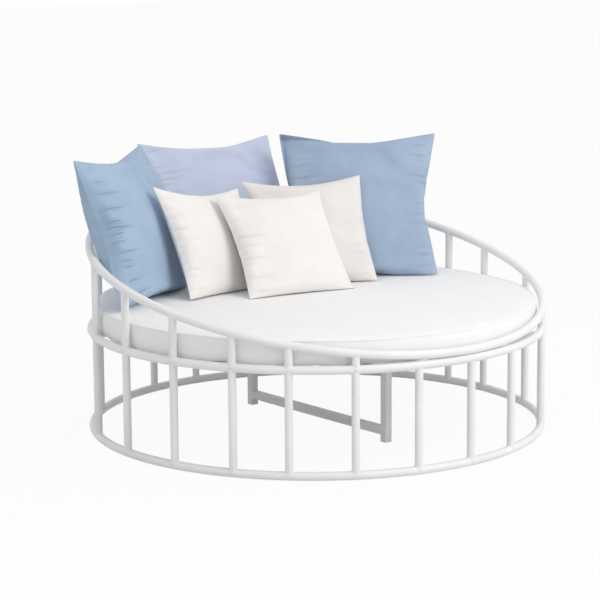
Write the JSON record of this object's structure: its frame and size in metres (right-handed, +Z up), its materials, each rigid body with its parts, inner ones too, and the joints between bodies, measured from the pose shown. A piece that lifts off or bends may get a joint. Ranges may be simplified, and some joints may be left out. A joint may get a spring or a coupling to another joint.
{
  "type": "round outdoor daybed",
  "caption": "Round balinese daybed: a drum of white round tube with a sloping top rail, a thick round pad on a slatted deck, and loose blue and off-white scatter cushions.",
  "frame": {"origin": "On the drum's axis, at the floor the floor ring stands on.", "axes": "+Z up. -Y is the front, where the top rail is lowest. +Y is the back, where it is highest. +X is the side at the right of someone who looks at the front."},
  "size_m": [1.8, 1.807, 1.1022],
  "materials": {
    "frame_paint": "matt white powder coat",
    "cap_plastic": "off-white moulded",
    "pad_fabric": "white woven canvas",
    "pad_foam": "open-cell foam",
    "blue_fabric": "mid blue woven canvas",
    "lavender_fabric": "lavender blue woven canvas",
    "cream_fabric": "off-white woven canvas",
    "cushion_filling": "white fibre"
  },
  "bodies": {
    "frame": {"deck_beam": "frame_paint", "deck_slats": "frame_paint", "floor_ring": "frame_paint", "front_leg": "frame_paint", "leg_caps": "cap_plastic", "lower_post_01": "frame_paint", "lower_post_02": "frame_paint", "lower_post_03": "frame_paint", "lower_post_04": "frame_paint", "lower_post_05": "frame_paint", "lower_post_06": "frame_paint", "lower_post_07": "frame_paint", "lower_post_08": "frame_paint", "lower_post_09": "frame_paint", "lower_post_10": "frame_paint", "lower_post_11": "frame_paint", "lower_post_12": "frame_paint", "lower_post_13": "frame_paint", "lower_post_14": "frame_paint", "lower_post_15": "frame_paint", "lower_post_16": "frame_paint", "lower_post_17": "frame_paint", "lower_post_18": "frame_paint", "lower_post_19": "frame_paint", "lower_post_20": "frame_paint", "rear_leg": "frame_paint", "seat_ring": "frame_paint", "stretcher": "frame_paint", "top_rail": "frame_paint", "upper_post_03": "frame_paint", "upper_post_04": "frame_paint", "upper_post_05": "frame_paint", "upper_post_06": "frame_paint", "upper_post_07": "frame_paint", "upper_post_08": "frame_paint", "upper_post_09": "frame_paint", "upper_post_10": "frame_paint", "upper_post_11": "frame_paint", "upper_post_12": "frame_paint", "upper_post_13": "frame_paint", "upper_post_14": "frame_paint", "upper_post_15": "frame_paint", "upper_post_16": "frame_paint", "upper_post_17": "frame_paint", "upper_post_18": "frame_paint", "upper_post_19": "frame_paint"},
    "seat_pad": {"seat_pad_cover": "pad_fabric", "seat_pad_foam": "pad_foam"},
    "large_cushion_left": {"large_cushion_left_cover": "blue_fabric", "large_cushion_left_filling": "cushion_filling"},
    "large_cushion_middle": {"large_cushion_middle_cover": "lavender_fabric", "large_cushion_middle_filling": "cushion_filling"},
    "large_cushion_right": {"large_cushion_right_cover": "blue_fabric", "large_cushion_right_filling": "cushion_filling"},
    "small_cushion_left": {"small_cushion_left_cover": "cream_fabric", "small_cushion_left_filling": "cushion_filling"},
    "small_cushion_right": {"small_cushion_right_cover": "cream_fabric", "small_cushion_right_filling": "cushion_filling"},
    "small_cushion_front": {"small_cushion_front_cover": "cream_fabric", "small_cushion_front_filling": "cushion_filling"}
  },
  "joints": [
    {"name": "seat_pad_lift", "type": "slide", "parent": "frame", "child": "seat_pad", "axis": [0, 0, 1], "range_m": [0, 0.45]},
    {"name": "large_cushion_left_lift", "type": "slide", "parent": "seat_pad", "child": "large_cushion_left", "axis": [-0.1331, 0.3051, 0.943], "range_m": [0, 0.65]},
    {"name": "large_cushion_middle_lift", "type": "slide", "parent": "seat_pad", "child": "large_cushion_middle", "axis": [0.072, 0.4655, 0.8821], "range_m": [0, 0.65]},
    {"name": "large_cushion_right_lift", "type": "slide", "parent": "seat_pad", "child": "large_cushion_right", "axis": [0.233, 0.316, 0.9197], "range_m": [0, 0.65]},
    {"name": "small_cushion_left_lift", "type": "slide", "parent": "seat_pad", "child": "small_cushion_left", "axis": [-0.0021, 0.4504, 0.8928], "range_m": [0, 0.6]},
    {"name": "small_cushion_right_lift", "type": "slide", "parent": "seat_pad", "child": "small_cushion_right", "axis": [0.0789, 0.4767, 0.8755], "range_m": [0, 0.6]},
    {"name": "small_cushion_front_lift", "type": "slide", "parent": "seat_pad", "child": "small_cushion_front", "axis": [0.0549, 0.3016, 0.9519], "range_m": [0, 0.6]}
  ]
}
